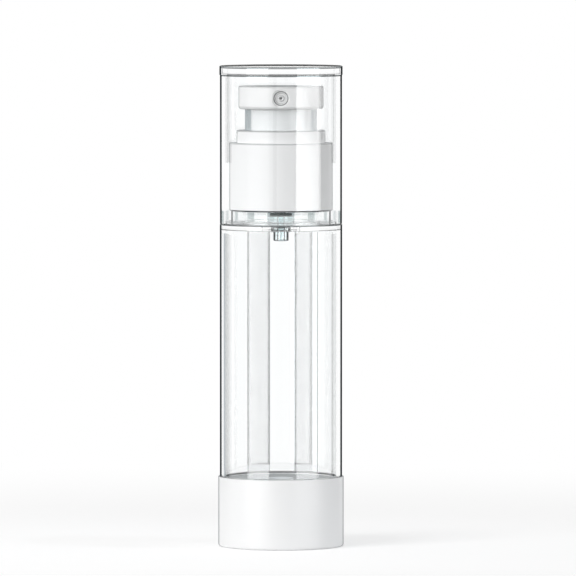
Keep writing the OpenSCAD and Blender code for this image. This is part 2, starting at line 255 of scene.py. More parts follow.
# %% [markdown]
# The camera stands where the photographer's did. The photo shows the bottle almost side
# on: the floor's ellipse at the foot is three pixels high on a base that is 125 pixels
# wide, which puts a far camera about three degrees above the table. A long lens at two
# metres keeps the sides upright, as in the photo. The camera looks at the bottle's middle
# and a small shift gives the photo's framing. The lens is matched to the film's height; the
# film's width holds just the bottle's diagonal, so that other views, which fit it there,
# stand equally far away and the studio that the camera carries stays round the bottle.

# %% Camera
PHOTO_WIDTH = 576
MM_PER_PIXEL = 0.2704
VIEW_MARGIN = 1.03
frame_width = PHOTO_WIDTH * MM_PER_PIXEL
camera_distance, camera_height, film = 2000.0, 172.0, 36.0
aim = Vector((1.9, 0.0, 69.9)) * MM
middle = (cad_box[0] + cad_box[1]) / 2


def object_of(name, data):
    """A new object of a mesh, a lamp or a camera, in the scene."""
    made = bpy.data.objects.new(name, data)
    bpy.context.scene.collection.objects.link(made)
    return made


camera_data = bpy.data.cameras.new("camera")
camera_data.sensor_fit, camera_data.sensor_height = "VERTICAL", film
camera_data.lens = film * camera_distance / frame_width
camera = object_of("camera", camera_data)
bpy.context.scene.camera = camera
camera.location = Vector((aim.x, -camera_distance * MM, camera_height * MM))
camera.rotation_mode = "QUATERNION"
camera.rotation_quaternion = (middle - camera.location).to_track_quat("-Z", "Y")
bpy.context.view_layer.update()
seen = camera.matrix_world.inverted() @ aim
camera_data.shift_x = seen.x / -seen.z * camera_data.lens / film
camera_data.shift_y = seen.y / -seen.z * camera_data.lens / film
room = (cad_box[1] - cad_box[0]).length / 2 * VIEW_MARGIN
half_view = asin(room / (middle - camera.location).length)
camera_data.sensor_width = 2 * camera_data.lens * tan(half_view)
print(f"shift {camera_data.shift_x:.4f}, {camera_data.shift_y:.4f}")
half_photo = degrees(atan(frame_width / 2 / camera_distance))
print(f"lens {camera_data.lens:.0f} mm, half the photo's width is {half_photo:.2f} degrees")

# %% [markdown]
# A moulded corner is never sharp: each has a small radius, and that radius is what draws
# the fine edge lines of the bottle. A half section is therefore a list of corners, each
# with a radius of its own, and one function puts the arcs in. It also adds a ring of points
# beside each arc, so that smooth shading stays straight on the long walls and bends only
# in the corner. A fourth number, from 0 to 1, marks an edge or a strip of the wall that
# the finishes read and paint dark: a painted shade line.

# %% Half sections with rounded corners
ARC_STEPS = 6
HOLD = 0.06


def rounded(corners):
    """Points and edge marks of a section; a corner is (r, z), (r, z, radius) or (..., mark)."""
    points, marks = [], []
    for i, (r, z, *rest) in enumerate(corners):
        here, radius, mark = Vector((r, z)), *(rest + [0, 0])[:2]
        if radius == 0:
            points.append(here)
            marks.append(mark)
            continue
        back = (Vector(corners[i - 1][:2]) - here).normalized()
        on = (Vector(corners[(i + 1) % len(corners)][:2]) - here).normalized()
        half = back.angle(on) / 2
        centre = here + (back + on).normalized() * radius / sin(half)
        start, end = here + back * radius / tan(half), here + on * radius / tan(half)
        shares = [step / ARC_STEPS for step in range(ARC_STEPS + 1)]
        arc = [(start - centre).slerp(end - centre, share) for share in shares]
        arc = [centre + way * radius for way in arc]
        points += [start + back * HOLD, *arc, end + on * HOLD]
        marks += [0, *[mark] * len(arc), 0]
    return points, marks


print("a 1 mm corner becomes", len(rounded([(0, 0), (5, 0, 1), (5, 5)])[0]) - 2, "points")

# %% [markdown]
# Turning a section about an axis is a rule, so Geometry Nodes do it: a curve of the section
# is swept along a circle, the points that meet on the axis are welded, and the finish is
# set. The circle has a radius of one millimetre only because a sweep needs a path; the
# section is drawn that much nearer the axis to make up for it. The same tree turns every
# round piece of the bottle, with its sizes as named inputs.

# %% Turning tree
PATH_RADIUS = 1.0 * MM
STEPS_ROUND = 180
WELD = 1e-7


def new_tree(name, inputs):
    """An empty Geometry Nodes tree with named inputs, and its two ends."""
    tree = bpy.data.node_groups.new(name, "GeometryNodeTree")
    tree.interface.new_socket("Geometry", in_out="INPUT", socket_type="NodeSocketGeometry")
    for label, kind in inputs.items():
        tree.interface.new_socket(label, in_out="INPUT", socket_type="NodeSocket" + kind)
    tree.interface.new_socket("Geometry", in_out="OUTPUT", socket_type="NodeSocketGeometry")
    return tree, tree.nodes.new("NodeGroupInput"), tree.nodes.new("NodeGroupOutput")


def add(tree, kind, options=None, **inputs):
    """A geometry node; in the inputs' names, underscores stand for spaces."""
    node = tree.nodes.new("GeometryNode" + kind)
    for key, value in (options or {}).items():
        setattr(node, key, value)
    for label, value in inputs.items():
        plug(tree, node.inputs[label.replace("_", " ")], value)
    return node.outputs[0]


def ending(tree, output, geometry, material):
    """Realize Instances and Set Material, as the export needs."""
    real = add(tree, "RealizeInstances", Geometry=geometry)
    tree.links.new(add(tree, "SetMaterial", Geometry=real, Material=material), output.inputs[0])


def turning_tree():
    tree, start, end = new_tree(
        "turn_a_section", {"Steps round": "Int", "Path radius": "Float", "Finish": "Material"}
    )
    section = add(tree, "MeshToCurve", Mesh=start.outputs["Geometry"])
    path = add(
        tree, "CurvePrimitiveCircle",
        Resolution=start.outputs["Steps round"], Radius=start.outputs["Path radius"],
    )
    path = add(tree, "SetCurveNormal", {"mode": "Z_UP"}, Curve=path)
    shell = add(tree, "CurveToMesh", Curve=path, Profile_Curve=section)
    welded = add(tree, "MergeByDistance", Geometry=shell, Distance=WELD)
    ending(tree, end, welded, start.outputs["Finish"])
    return tree


turn_a_section = turning_tree()
print("the turning tree has", len(turn_a_section.nodes), "nodes")

# %% [markdown]
# A modifier's inputs are set by their identifiers before the object is first evaluated. The
# evaluated result then becomes a plain mesh, which is what rides on a body. Faces that meet
# at less than the crease angle are shaded smooth, and the signed volume shows at once
# whether a shell is closed and faces outwards.

# %% From node tree to plain mesh
CREASE = radians(28)


def mesh_of(name, solid):
    """The plain mesh of a bmesh, which is then let go."""
    mesh = bpy.data.meshes.new(name)
    solid.to_mesh(mesh)
    solid.free()
    return mesh


def run_tree(source, tree, values):
    """The plain mesh that a tree makes of source, which is then removed."""
    modifier = source.modifiers.new("tree", "NODES")
    modifier.node_group = tree
    for item in tree.interface.items_tree:
        if item.in_out == "INPUT" and item.name in values:
            modifier[item.identifier] = values[item.name]
    scene_now = bpy.context.evaluated_depsgraph_get()
    mesh = bpy.data.meshes.new_from_object(source.evaluated_get(scene_now))
    bpy.data.objects.remove(source)
    return mesh


def shaded(mesh):
    """Smooth shading with creases, and faces that point outwards."""
    solid = bmesh.new()
    solid.from_mesh(mesh)
    if solid.calc_volume(signed=True) < 0:
        bmesh.ops.reverse_faces(solid, faces=solid.faces)
    volume = solid.calc_volume(signed=True) / MM**3
    leaks = sum(not edge.is_manifold for edge in solid.edges)
    solid.to_mesh(mesh)
    solid.free()
    mesh.shade_smooth()
    mesh.set_sharp_from_angle(angle=CREASE)
    print(f"  {mesh.name}: {len(mesh.polygons)} faces, {volume:.0f} mm3, {leaks} open edges")


def turned(name, corners, material, steps=STEPS_ROUND):
    """A piece made by turning a half section about the upright axis."""
    points, marks = rounded(corners)
    flat = bpy.data.meshes.new(name)
    closed = corners[0][0] > 0 or corners[-1][0] > 0
    ends = range(len(points) if closed else len(points) - 1)
    flat.from_pydata(
        [(p.x * MM - PATH_RADIUS, -p.y * MM, 0) for p in points],
        [(i, (i + 1) % len(points)) for i in ends],
        [],
    )
    # The marks ride along as the attribute "edge", where the finishes paint shade lines.
    flat.attributes.new("edge", "FLOAT", "POINT").data.foreach_set("value", marks)
    values = {"Steps round": steps, "Path radius": PATH_RADIUS, "Finish": material}
    mesh = run_tree(object_of(name + "_section", flat), turn_a_section, values)
    mesh.name = name
    shaded(mesh)
    return object_of(name, mesh)


def dress(piece, node):
    """The piece stands for a CAD node, whose part is hidden, and rides on its body."""
    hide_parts(node)
    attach(piece, body_of[node])
    return piece


def round_piece(node, name, material, corners, steps=STEPS_ROUND):
    dress(turned(name, corners, material, steps), node)


print("pieces are turned in", STEPS_ROUND, "steps")

# %% [markdown]
# The barrel, the overcap and the inlet tail are moulded in clear styrene plastic, which
# bends light a little more than window glass does. A plain glass shader is right for it,
# with three changes. Lamps and soft light pass straight through, because traced bends of
# them would only add noise to what stands inside. At the very rim of an upright wall,
# where the eye looks along its skin, near black is painted in, a painted dark outline of
# the kind seen against a bright background; Layer Weight finds that rim from any side, and
# the tail has less of it above the deck. Last, marked corners get a painted dark gloss,
# a painted reflection of a dark room round the studio, which the scene doesn't have.

# %% Clear plastic
STYRENE_INDEX = 1.57
PAINTED_OUTLINE_BLACK = (0.01, 0.017, 0.02, 1)
PAINTED_CORNER_GREY, CORNER_ROUGHNESS = (0.12, 0.14, 0.145, 1), 0.1
WALL_OUTLINE, TAIL_OUTLINE = (0.74, 0.785), (0.25, 0.4)
OUTLINE_FADE, EVERYWHERE = 0.8, 1.0
MOST_RISE = 0.5  # of an upright wall's normal


def let_light_through(mix, shader):
    """Lamps and soft light meet plain transparency; eyes and mirrors meet the shader."""
    clear = mix.node("BsdfTransparent")
    soft = mix.either(mix.light_path("Is Diffuse Ray"), shader, clear)
    return mix.either(mix.light_path("Is Shadow Ray"), soft, clear)


def rim(mix, start, full):
    """0 where an upright wall faces the eye, 1 where the eye looks along it."""
    along = mix.eased(mix.facing(), start, full)
    normal = mix.node("NewGeometry", output="Normal")
    rise = mix.node("Math", {"operation": "ABSOLUTE"}, {0: mix.height_of(normal)})
    upright = 1 - rise.over(MOST_RISE)
    across = mix.vectors("MULTIPLY", {0: mix.place(), 1: (1, 1, 0)})
    outer = mix.vectors("DOT_PRODUCT", {0: normal, 1: across}, "Value").over(0.0)
    return along * upright * outer


def painted_line_mark(mix):
    """The painted-shade mark of the section's corners, which went round the piece with them."""
    return mix.node("Attribute", {"attribute_name": "edge"}, None, "Fac")


def clear_plastic(name, pale, deep, outline, outline_top=EVERYWHERE, corner_shade=PAINTED_CORNER_GREY):
    """Clear plastic whose tint drifts from pale to deep, as flow in a mould leaves it."""
    mix = recipe(name)
    inputs = {
        "Base Color": mix.blend(mix.noise(45.0), pale, deep),
        "Roughness": 0.0,
        "IOR": STYRENE_INDEX,
        "Transmission Weight": 1.0,
    }
    glass = mix.node("BsdfPrincipled", None, inputs)
    # Painted shade: the near-black outline at the rim of an upright wall.
    skin = mix.node("BsdfDiffuse", None, {"Color": PAINTED_OUTLINE_BLACK})
    # Painted reflection: marked corners get a dark grey gloss.
    corner = mix.node("BsdfGlossy", None, {"Color": corner_shade, "Roughness": CORNER_ROUGHNESS})
    edged = mix.either(painted_line_mark(mix), glass, corner)
    faded = mix.height_of(mix.place()).over(outline_top) * OUTLINE_FADE
    outlined = rim(mix, *outline) * (1 - faded)
    return mix.finish(let_light_through(mix, mix.either(outlined, edged, skin)))


clear_tints = (0.995, 1.0, 1.0, 1), (0.985, 0.995, 0.998, 1)
tail_tints = (0.86, 0.93, 0.94, 1), (0.82, 0.91, 0.92, 1)
clear_barrel = clear_plastic("clear_barrel", *clear_tints, WALL_OUTLINE)
clear_overcap = clear_plastic("clear_overcap", *clear_tints, WALL_OUTLINE)
# The tail's marked corners get a darker painted gloss.
clear_tail = clear_plastic(
    "clear_tail", *tail_tints, TAIL_OUTLINE, low("overcap") * MM, (0.03, 0.042, 0.045, 1)
)
print("clear finishes: barrel, overcap and tail")

# %% [markdown]
# The barrel is one moulding: a tube that closes in a deck, with the neck above the deck and
# a spigot below that plugs into the base. Its half section goes once round the wall.

# %% Barrel
barrel_low, neck_top, barrel_r = extent("barrel")
rim_z, ring_z, wall, deck_t = high("base"), low("collar"), 1.4, 1.3
spigot_r, bore_r = barrel_r - 0.6, barrel_r - wall
deck_z = low("overcap") - FIT
under_deck = deck_z - deck_t
neck_r, neck_bore_r, neck_ring_r, hole_r = 11.6, 9.75, 13.45, 3.3
step_out, step_in, step_top = 15.05, 14.15, deck_z + 0.9
bead_r, bead_slope = spigot_r + 0.15, 0.2
bead_low, bead_high = barrel_low + 5.4, barrel_low + 6.2
neck_bead_r, neck_bead_slope = neck_r + 0.3, 0.3
neck_bead_low, neck_bead_high = neck_top - 2.5, neck_top - 1.5
# Marked corners at the base's rim, the deck, the step and the neck ring get painted shade lines.
round_piece("barrel", "clear_barrel", clear_barrel, [
    (bore_r, barrel_low, 0.1), (spigot_r, barrel_low, 0.3),
    (spigot_r, bead_low), (bead_r, bead_low + bead_slope),
    (bead_r, bead_high - bead_slope), (spigot_r, bead_high),
    (spigot_r, rim_z, 0.1), (barrel_r, rim_z, 0.25, 0.3),
    (barrel_r, deck_z, 0.2, 0.7), (step_out, deck_z, 0.1),
    (step_out, step_top, 0.2, 0.4), (step_in, step_top, 0.1),
    (step_in, deck_z, 0.1), (neck_ring_r, deck_z, 0.1, 0.5),
    (neck_ring_r, ring_z, 0.15, 0.5), (neck_r, ring_z, 0.2),
    (neck_r, neck_bead_low), (neck_bead_r, neck_bead_low + neck_bead_slope),
    (neck_bead_r, neck_bead_high - neck_bead_slope), (neck_r, neck_bead_high),
    (neck_r, neck_top, 0.2), (neck_bore_r, neck_top, 0.1),
    (neck_bore_r, deck_z, 0.4), (hole_r, deck_z, 0.1),
    (hole_r, under_deck, 0.1), (bore_r, under_deck, 0.25),
])

# %% [markdown]
# The overcap is a tube with a thick flat top. The plate stands a hair proud of the wall.
# The photo shows it between two dark lines, one under the plate and one under its rounded
# edge, so two narrow strips of the wall are marked there.

# %% Overcap
cap_low, top, plate_r = extent("overcap")
cap_r = barrel_r - FIT
cap_bore_r, plate_z = cap_r - wall, top - 2.5
# The marked strips and corners of the wall are painted dark: painted shade lines.
line, fade = 0.95, 0.05
under_line = plate_z - 0.25
top_line_low, top_line_high = top - 0.6, top - 0.4
round_piece("overcap", "clear_overcap", clear_overcap, [
    (0, plate_z), (cap_bore_r, plate_z, 0.15),
    (cap_bore_r, cap_low, 0.15), (cap_r, cap_low, 0.2, 0.5),
    (cap_r, under_line - fade), (cap_r, under_line, 0, line),
    (cap_r, plate_z, 0, line), (plate_r, plate_z, 0.07, 0.5),
    (plate_r, top_line_low - fade), (plate_r, top_line_low, 0, line),
    (plate_r, top_line_high, 0, line), (plate_r, top, 0.3, 0.6), (0, top),
])

# %% [markdown]
# White polypropylene is glossy but never perfectly even: its gloss drifts where the melt
# cooled at another rate, and its skin has a faint orange-peel wave. Noise drives both. At a
# low angle a grey gloss is mixed in, a painted dark rim, and a marked edge is painted dark
# grey, a painted shade line like the fine dark line under a rim.


# %% White and natural plastics
PROPYLENE_INDEX = 1.49
PAINTED_LINE_GREY, PAINTED_RIM_GREY = (0.03, 0.036, 0.04, 1), (0.25, 0.27, 0.28, 1)
PEEL_DEPTH, GLOSS_DRIFT = 0.004 * MM, 0.08


def moulded_plastic(name, light, shade, roughness):
    """Opaque plastic with a slight drift of colour and gloss, and a peel in its skin."""
    mix = recipe(name)
    drift = mix.noise(60.0)
    inputs = {
        # Painted shade: marked edges are painted dark grey.
        "Base Color": mix.blend(painted_line_mark(mix), mix.blend(drift, light, shade), PAINTED_LINE_GREY),
        "Roughness": roughness + (drift - 0.5) * GLOSS_DRIFT,
        "IOR": PROPYLENE_INDEX,
        "Normal": mix.bump(mix.noise(900.0, 3.0), PEEL_DEPTH, 0.6),
    }
    plastic = mix.node("BsdfPrincipled", None, inputs)
    # Painted dark rim: a grey gloss takes over where the eye looks along the surface.
    dull = mix.node("BsdfGlossy", None, {"Color": PAINTED_RIM_GREY, "Roughness": 0.4})
    return mix.finish(mix.either(mix.eased(mix.facing(), 0.74, 0.92, 0.75), plastic, dull))


def whites(level):
    """A white, and the slightly darker and cooler one that it drifts to."""
    return (level, level, level, 1), (level - 0.03, level - 0.025, level - 0.02, 1)


white_base = moulded_plastic("white_base", *whites(0.90), 0.32)
white_collar = moulded_plastic("white_collar", *whites(0.91), 0.28)
white_head = moulded_plastic("white_head", *whites(0.91), 0.26)
white_pump = moulded_plastic("white_pump", *whites(0.89), 0.4)
natural_pump = moulded_plastic("natural_pump", (0.80, 0.84, 0.85, 1), (0.75, 0.80, 0.82, 1), 0.42)
follower_white = moulded_plastic("follower", (0.90, 0.93, 0.95, 1), (0.86, 0.90, 0.93, 1), 0.35)
print("opaque finishes: base, collar, head, pump, natural pump and follower")

# %% [markdown]
# The base is a white cup. It hides the barrel's spigot, stands on a narrow foot ring, and
# carries a ring of stops inside, on which the follower rests when the bottle is full.

# %% Base
base_r, floor_top = reach("base"), barrel_low - 0.6
foot_h, foot_w, vent_r = 1.2, 2.4, 0.6
base_bore_r = base_r - 1.0
# The inner edge of the rim carries a full mark: a painted shade line.
round_piece("base", "white_base", white_base, [
    (vent_r, foot_h, 0.1), (base_r - foot_w, foot_h, 0.2),
    (base_r - foot_w, 0, 0.3), (base_r, 0, 0.6),
    (base_r, rim_z, 0.15), (base_bore_r, rim_z, 0.3, 1),
    (base_bore_r, floor_top, 0.4), (vent_r, floor_top, 0.1),
])

# %% [markdown]
# The ring of stops is six equal arcs with gaps between them, through which air reaches the
# follower. One arc is a section swept part of the way round, and Geometry Nodes repeat it,
# each copy turned one step further. The same repeating tree serves for the pump's slots and
# for the ribs under the press head.


# %% Repeating about the axis
def repeating_tree():
    tree, start, end = new_tree(
        "repeat_about_the_axis", {"Count": "Int", "Step": "Float", "Finish": "Material"}
    )
    spots = add(tree, "MeshLine", Count=start.outputs["Count"], Offset=(0, 0, 0))
    sums = Sums(tree)
    turn = Wire(sums, add(tree, "InputIndex")) * start.outputs["Step"]
    copies = add(
        tree, "InstanceOnPoints", Points=spots, Instance=start.outputs["Geometry"],
        Rotation=sums.node("CombineXYZ", None, {"Z": turn}),
    )
    ending(tree, end, copies, start.outputs["Finish"])
    return tree


repeat_about_the_axis = repeating_tree()


def repeated(name, mesh, count, step, material):
    """Copies of mesh about the upright axis, step degrees apart."""
    values = {"Count": count, "Step": radians(step), "Finish": material}
    made = run_tree(object_of(name + "_one", mesh), repeat_about_the_axis, values)
    made.name = name
    shaded(made)
    return object_of(name, made)


def arc_block(name, inside, outside, bottom, top_z, sweep, edge=0.15, steps=16):
    """One block of a ring with rounded upper edges, its middle at the front."""
    points, _ = rounded(
        [(inside, bottom), (outside, bottom), (outside, top_z, edge), (inside, top_z, edge)]
    )
    solid = bmesh.new()
    rings = []
    for i in range(steps + 1):
        a = radians(sweep) * (i / steps - 0.5)
        x, y = sin(a) * MM, -cos(a) * MM
        rings.append([solid.verts.new((p.x * x, p.x * y, p.y * MM)) for p in points])
    for one, two in zip(rings, rings[1:]):
        for i in range(len(points)):
            after = (i + 1) % len(points)
            solid.faces.new((one[i], one[after], two[after], two[i]))
    solid.faces.new(rings[0])
    solid.faces.new(rings[-1][::-1])
    bmesh.ops.recalc_face_normals(solid, faces=solid.faces)
    return mesh_of(name, solid)


stop_r, stop_wall, stop_count, stop_notch, stop_root = 14.05, 1.0, 6, 3.0, 0.3
stop_bore_r = stop_r - stop_wall
stop_low, stop_top = floor_top - stop_root, low("follower_piston") - FIT
stop_sweep = 360 / stop_count - degrees(stop_notch / stop_bore_r)
one_stop = arc_block("one_stop", stop_bore_r, stop_r, stop_low, stop_top, stop_sweep)
stops = repeated("base_stops", one_stop, stop_count, 360 / stop_count, white_base)
dress(stops, "base")

# %% [markdown]
# The collar hides the closure ring, and its narrow step guides the sleeve under the head.

# %% Collar
_, collar_top, collar_r = extent("collar")
collar_t, collar_bore_r, chimney_bore_r = 1.0, collar_r - 0.85, 11.1
collar_step_r, collar_step_z = 12.0, collar_top - 3.4
_, seat_z, skirt_r = extent("actuator_skirt")
mouth_r = skirt_r + 0.2
# The foot's outer corner and the step's and top's outer edges are marked: painted shade lines.
round_piece("collar", "white_collar", white_collar, [
    (collar_bore_r, ring_z, 0.1), (collar_r, ring_z, 0.3, 1),
    (collar_r, collar_step_z, 0.3, 0.4), (collar_step_r, collar_step_z, 0.15),
    (collar_step_r, collar_top, 0.3, 0.5), (mouth_r, collar_top, 0.15),
    (mouth_r, collar_top - collar_t, 0.05), (chimney_bore_r, collar_top - collar_t),
    (chimney_bore_r, collar_step_z - collar_t), (collar_bore_r, collar_step_z - collar_t, 0.2),
])

# %% [markdown]
# The press head is a low disc. Its spray face is a small flat, sunk just under the round
# side, with the nozzle insert pressed into its middle. The Boolean modifier cuts both, the
# channel behind them and the ribbed pockets underneath, because none is a turned shape.


# %% Press head
def cut_by(piece, *cutters):
    """Piece less each cutter, applied to its mesh; the cutters are removed."""
    for cutter in cutters:
        modifier = piece.modifiers.new("cut", "BOOLEAN")
        modifier.operation, modifier.solver, modifier.object = "DIFFERENCE", "EXACT", cutter
    scene_now = bpy.context.evaluated_depsgraph_get()
    mesh = bpy.data.meshes.new_from_object(piece.evaluated_get(scene_now))
    piece.modifiers.clear()
    piece.data = mesh
    for cutter in cutters:
        bpy.data.objects.remove(cutter)
    mesh.name = piece.name
    shaded(mesh)
    return piece


def facing_front(piece, z):
    """Turns an upright piece to lie along -Y at height z, in its mesh."""
    piece.data.transform(Matrix.Translation((0, 0, z * MM)) @ Matrix.Rotation(radians(90), 4, "X"))
    return piece


FINE_STEPS, BORE_STEPS = 96, 48
socket_low, head_high, head_r = extent("actuator_head")
head_low, seat_r, socket_top = head_high - 6.2, skirt_r + FIT, high("pump_stem") + FIT
socket_r, socket_bore_r, channel_r, rise_r = 3.65, 2.5, 0.65, 1.0
nozzle_z = (head_low + head_high) / 2
nozzle_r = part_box("nozzle_insert")[1].x / MM
flat_y, flat_r = -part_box("nozzle_insert")[0].y / MM, 2.45
nozzle_l = flat_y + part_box("nozzle_insert")[1].y / MM
# The marks on the lower and upper outer edges are for painted shade lines.
head_section = [
    (0, socket_top), (socket_bore_r, socket_top, 0.1),
    (socket_bore_r, socket_low, 0.2), (socket_r, socket_low, 0.2),
    (socket_r, seat_z, 0.1), (seat_r, seat_z, 0.05),
    (seat_r, head_low, 0.1), (head_r, head_low, 0.8, 0.25),
    (head_r, head_high, 0.35, 0.25), (0, head_high),
]
head = turned("white_head", head_section, white_head)


def bar(name, length, width, bottom, height, middle=0.0):
    """A plain cutter bar along Y, centred on X, its middle at y."""
    made = bmesh.new()
    place = Matrix.Translation(Vector((0, middle, bottom + height / 2)) * MM)
    size = Matrix.Diagonal((width * MM, length * MM, height * MM, 1))
    bmesh.ops.create_cube(made, size=1, matrix=place @ size)
    return mesh_of(name, made)


def drum(name, radius, start, stop, steps):
    """A plain round cutter."""
    corners = [(0, start), (radius, start), (radius, stop), (0, stop)]
    return turned(name, corners, white_head, steps)


pocket_in, pocket_out, pocket_top = socket_r + 0.6, skirt_r - 0.6, head_high - 1.3
pocket_low, bar_low, bar_h = seat_z - 1, seat_z - 2, 12
rib_w, rib_l, ribs_across = 1.2, 30, 3
block_w, block_l, block_y = 2 * nozzle_r + 1.4, 12, -6
pocket_section = [
    (pocket_in, pocket_low), (pocket_out, pocket_low),
    (pocket_out, pocket_top, 0.2), (pocket_in, pocket_top, 0.2),
]
pockets = turned("pockets", pocket_section, white_head, FINE_STEPS)
spoke = bar("spoke", rib_l, rib_w, bar_low, bar_h)
spokes = repeated("spokes", spoke, ribs_across, 180 / ribs_across, white_head)
block = object_of("block", bar("block", block_l, block_w, bar_low, bar_h, block_y))
cut_by(pockets, spokes, block)
insert_back, press_r, mouth_lip = flat_y - nozzle_l, nozzle_r + 0.02, 0.2
pocket_cut = [
    (0, insert_back), (press_r, insert_back), (press_r, flat_y - 0.15),
    (press_r + 0.15, flat_y + mouth_lip), (0, flat_y + mouth_lip),
]
cut_by(
    head,
    pockets,
    facing_front(drum("flat_cut", flat_r, flat_y, head_r + 1, FINE_STEPS), nozzle_z),
    facing_front(turned("pocket_cut", pocket_cut, white_head, FINE_STEPS), nozzle_z),
    facing_front(drum("channel_cut", channel_r, 0, flat_y - 1, BORE_STEPS), nozzle_z),
    drum("rise_cut", rise_r, socket_top - 0.5, nozzle_z + channel_r, BORE_STEPS),
)
dress(head, "actuator_head")

# %% [markdown]
# The nozzle insert is the one fine detail that faces the camera: a rim, a ring-shaped dish
# round a small boss, and the orifice, which flares open towards the front.

# %% Nozzle insert
insert_bore_r, flare_r, orifice_r = 1.15, 0.55, 0.3
dish_in, dish_out, dish_y = 0.8, 1.5, flat_y - 0.35
flare_y, orifice_y = flat_y - 0.3, flat_y - 0.9
# The rim, the dish's edges and the orifice's lip are marked: painted shade, darkest in the
# orifice.
insert_section = [
    (insert_bore_r, insert_back, 0.1), (nozzle_r, insert_back, 0.1),
    (nozzle_r, flat_y, 0.2, 0.9), (dish_out, flat_y, 0.12),
    (dish_out, dish_y, 0.12, 0.5), (dish_in, dish_y, 0.12, 0.5),
    (dish_in, flat_y, 0.15), (flare_r, flat_y, 0.1),
    (orifice_r, flare_y, 0.05, 1), (orifice_r, orifice_y), (insert_bore_r, orifice_y),
]
insert = turned("nozzle_insert_front", insert_section, white_head, FINE_STEPS)
facing_front(insert, nozzle_z)
dress(insert, "nozzle_insert")

# %% [markdown]
# Two sleeves hang under the head. The outer one is natural polypropylene, milky but clear
# enough to show the white spring cover inside it, so it gets a rough glass with a pale tint
# and sides painted grey where the eye looks along them, painted shade. The inner one is white.


# %% Sleeves
def milky_plastic(name, pale, deep, roughness):
    """Translucent plastic: partly clear, partly white from the light it scatters."""
    mix = recipe(name)
    inputs = {
        "Base Color": mix.blend(mix.noise(80.0), pale, deep),
        "Roughness": roughness,
        "IOR": PROPYLENE_INDEX,
        "Transmission Weight": 0.6,
        "Normal": mix.bump(mix.noise(700.0), 0.002 * MM, 0.5),
    }
    glass = mix.node("BsdfPrincipled", None, inputs)
    # Painted shade: grey is painted in at the sleeve's sides, seen at a low angle.
    depth = mix.node("BsdfDiffuse", None, {"Color": (0.22, 0.27, 0.29, 1)})
    side = rim(mix, 0.42, 0.47) * 0.7
    return mix.finish(let_light_through(mix, mix.either(side, glass, depth)))


natural_skirt = milky_plastic(
    "natural_skirt", (0.95, 0.97, 0.975, 1), (0.93, 0.955, 0.965, 1), 0.1
)


def ring(name, node, inside, material, foot_edge, edge):
    """A plain tube or ring, as tall and as wide as its node."""
    foot, head_z, outside = extent(node)
    round_piece(node, name, material, [
        (inside, foot, edge), (outside, foot, foot_edge),
        (outside, head_z, edge), (inside, head_z, edge),
    ])


ring("natural_skirt", "actuator_skirt", skirt_r - 1.6, natural_skirt, 0.15, 0.1)
ring("spring_cover_sleeve", "spring_cover", reach("spring_cover") - 1.0, white_pump, 0.15, 0.1)

# %% [markdown]
# The inlet tail is a small clear rod with a fine bore. Its boss stands on the deck and
# cages the rubber disc, and its snout hangs through the hole with a rim that snaps under.
# Rubber is dull: it gets little specular light, and a fine grain drives colour and bump.

# %% Inlet tail and its disc
tail_bore_r, boss_r, snout_r, rim_r, throat_r = 0.675, 3.65, 2.05, 2.7, 1.95
tail_foot, tail_top, _ = extent("pump_tail")
tail_rim_top = low("tail_seal") - FIT
tail_rim_low = tail_rim_top - 1.4
disc_low, disc_high, disc_r = extent("inlet_disc")
pocket_r, pocket_floor = disc_r + 0.1, disc_low - FIT
# The snout's foot and its rim are marked: painted shade lines.
round_piece("pump_tail", "clear_tail", clear_tail, [
    (tail_bore_r, tail_foot, 0.1), (snout_r, tail_foot, 0.3, 0.4),
    (snout_r, tail_rim_low, 0.15), (rim_r, tail_rim_low, 0.35, 0.9),
    (rim_r, tail_rim_top, 0.35, 0.9), (throat_r, tail_rim_top, 0.1),
    (throat_r, deck_z, 0.1), (boss_r, deck_z, 0.05),
    (boss_r, tail_top, 0.2), (pocket_r, tail_top, 0.1),
    (pocket_r, pocket_floor, 0.2), (tail_bore_r, pocket_floor, 0.1),
])


def grained(name, light, shade, roughness, grain, gloss_run, depth, bump, more):
    """A finish whose colour, gloss and bump all follow one grain."""
    mix = recipe(name)
    marks = mix.noise(*grain)
    inputs = {
        "Base Color": mix.blend(marks, light, shade),
        "Roughness": roughness + marks * gloss_run,
        "Normal": mix.bump(marks, depth * MM, bump),
        **more,
    }
    return mix.finish(mix.node("BsdfPrincipled", None, inputs))


rubber = (2500.0, 4.0), 0.15, 0.01, 0.8, {"Specular IOR Level": 0.15}
valve_rubber = grained(
    "valve_rubber", (0.004, 0.014, 0.016, 1), (0.008, 0.020, 0.022, 1), 0.5, *rubber
)
seal_rubber = grained("seal_rubber", (0.62, 0.68, 0.70, 1), (0.56, 0.63, 0.66, 1), 0.4, *rubber)
round_piece("inlet_disc", "valve_disc", valve_rubber, [
    (0, disc_low), (disc_r, disc_low, 0.15), (disc_r, disc_high, 0.15), (0, disc_high)
], FINE_STEPS)

# %% [markdown]
# The follower piston seals the bore with two lips and climbs as the product is used. Its
# well clears the tail's snout at the top of the travel, and its underside is hollow.

# %% Follower piston
piston_low, piston_high, lip_r = extent("follower_piston")
lip_h, piston_wall = 1.0, 1.1
body_r, well_r, well_z = lip_r - 0.5, 3.2, piston_high - 3.9
inner_r, under_top = body_r - piston_wall, piston_high - piston_wall
under_well, around_well_r = well_z - piston_wall, well_r + piston_wall
